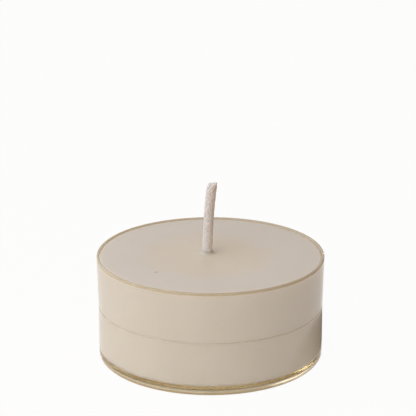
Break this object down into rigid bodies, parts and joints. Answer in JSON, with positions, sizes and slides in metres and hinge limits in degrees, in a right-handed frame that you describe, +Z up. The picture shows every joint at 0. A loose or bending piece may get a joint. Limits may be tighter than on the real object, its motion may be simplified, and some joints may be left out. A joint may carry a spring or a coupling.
{
  "type": "tea light candle",
  "caption": "Small round candle: cream wax with a leaning braided wick, cast in a clear moulded cup with a rounded brim, a fine wall step and a raised floor on a foot ring.",
  "frame": {"origin": "centre of the foot ring, on the surface that the cup stands on", "axes": "+Z up along the cup's axis; the wick leans towards +X; the picture looks along +Y"},
  "size_m": [0.038, 0.038, 0.0297],
  "materials": {
    "cup_clear": "polished",
    "wax": "satin",
    "wick_cotton": "matte",
    "sustainer_tinplate": "satin"
  },
  "bodies": {
    "root": {"plastic_cup": "cup_clear", "wax_fill": "wax", "wick": "wick_cotton", "wick_sustainer": "sustainer_tinplate"}
  },
  "joints": []
}
